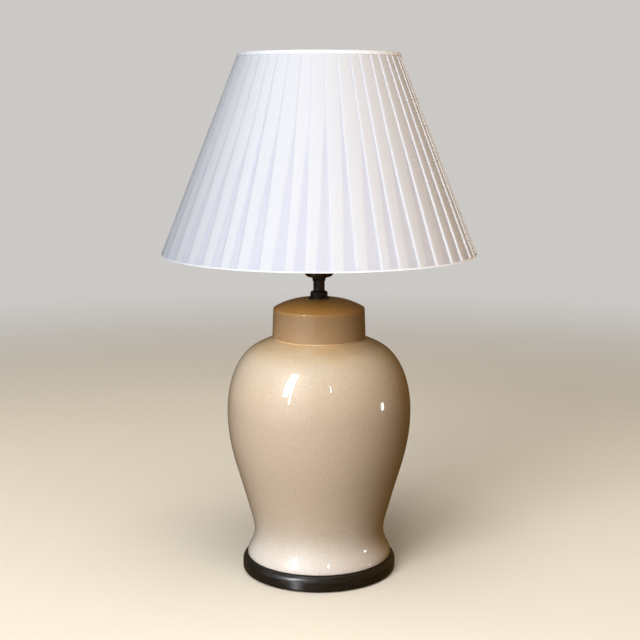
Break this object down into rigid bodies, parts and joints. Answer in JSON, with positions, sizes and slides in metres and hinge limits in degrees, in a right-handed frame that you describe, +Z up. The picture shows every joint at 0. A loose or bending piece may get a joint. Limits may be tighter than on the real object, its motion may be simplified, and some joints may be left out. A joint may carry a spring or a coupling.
{
  "type": "ginger jar lamp",
  "caption": "Glazed ginger jar table lamp with a lid, a dark turned plinth and a pleated cone shade carried on a harp.",
  "frame": {"origin": "centre of the felt's underside, where the lamp stands", "axes": "+Z up along the lamp's axis, front towards -Y, switch key towards +X"},
  "size_m": [0.4063, 0.4064, 0.6767],
  "materials": {
    "felt": "pressed wool felt",
    "plinth_wood": "black brown satin lacquer",
    "bushing_plastic": "moulded",
    "plain_steel": "zinc plated",
    "cork": "pressed cork",
    "jar_glaze": "clear gloss over a speckled cream slip",
    "lid_glaze": "clear gloss over a speckled tan slip",
    "dark_bronze": "blackened, satin",
    "aged_brass": "mottled antique bronze",
    "bright_brass": "plain",
    "card": "pressed fibre",
    "moulded_black": "moulded phenolic",
    "bulb_metal": "rolled thread",
    "bulb_envelope": "inside frosted",
    "clear_glass": "clear",
    "filament_wire": "drawn wire",
    "shade_cloth": "fine white weave, knife pleated",
    "lining_cloth": "smooth white backing",
    "frame_wire": "white coated wire",
    "spider_brass": "satin brass plate"
  },
  "bodies": {
    "lamp": {"base_felt": "felt", "base_plinth": "plinth_wood", "cord_bushing": "bushing_plastic", "base_washer": "plain_steel", "base_lock_nut": "plain_steel", "lamp_pipe": "plain_steel", "jar_gasket": "cork", "jar": "jar_glaze", "lid": "lid_glaze", "check_ring": "aged_brass", "neck": "dark_bronze", "harp_saddle": "dark_bronze", "socket_cap": "aged_brass", "socket_shell": "aged_brass", "socket_insulator": "card", "socket_body": "moulded_black", "terminal_screws": "bright_brass", "screw_shell": "bright_brass", "centre_contact": "bright_brass"},
    "harp": {"harp_wire": "dark_bronze", "harp_stud": "dark_bronze"},
    "sleeve_front": {"harp_sleeve_front": "dark_bronze"},
    "sleeve_back": {"harp_sleeve_back": "dark_bronze"},
    "shade": {"shade_pleats": "shade_cloth", "shade_lining": "lining_cloth", "shade_bottom_trim": "shade_cloth", "shade_top_trim": "shade_cloth", "shade_bottom_ring": "frame_wire", "shade_top_ring": "frame_wire", "shade_ribs": "frame_wire", "shade_spider": "spider_brass"},
    "finial": {"finial": "dark_bronze"},
    "bulb": {"bulb_contact": "bulb_metal", "bulb_insulator": "moulded_black", "bulb_screw_cap": "bulb_metal", "bulb_glass": "bulb_envelope", "bulb_stem": "clear_glass", "bulb_filament": "filament_wire"},
    "key": {"switch_key": "moulded_black", "key_shaft": "bright_brass"}
  },
  "joints": [
    {"name": "harp_lift", "type": "slide", "parent": "lamp", "child": "harp", "axis": [0, 0, 1], "range_m": [0, 0.04]},
    {"name": "sleeve_front_lift", "type": "slide", "parent": "harp", "child": "sleeve_front", "axis": [0, 0, 1], "range_m": [0, 0.016]},
    {"name": "sleeve_back_lift", "type": "slide", "parent": "harp", "child": "sleeve_back", "axis": [0, 0, 1], "range_m": [0, 0.016]},
    {"name": "shade_turn", "type": "hinge", "parent": "harp", "child": "shade", "pos_m": [0, 0, 0.651], "axis": [0, 0, 1], "continuous": true},
    {"name": "finial_turn", "type": "hinge", "parent": "harp", "child": "finial", "pos_m": [0, 0, 0.656], "axis": [0, 0, 1], "continuous": true},
    {"name": "bulb_turn", "type": "hinge", "parent": "lamp", "child": "bulb", "pos_m": [0, 0, 0.44], "axis": [0, 0, 1], "continuous": true},
    {"name": "key_turn", "type": "hinge", "parent": "lamp", "child": "key", "pos_m": [0.03, 0, 0.4216], "axis": [1, 0, 0], "continuous": true}
  ]
}
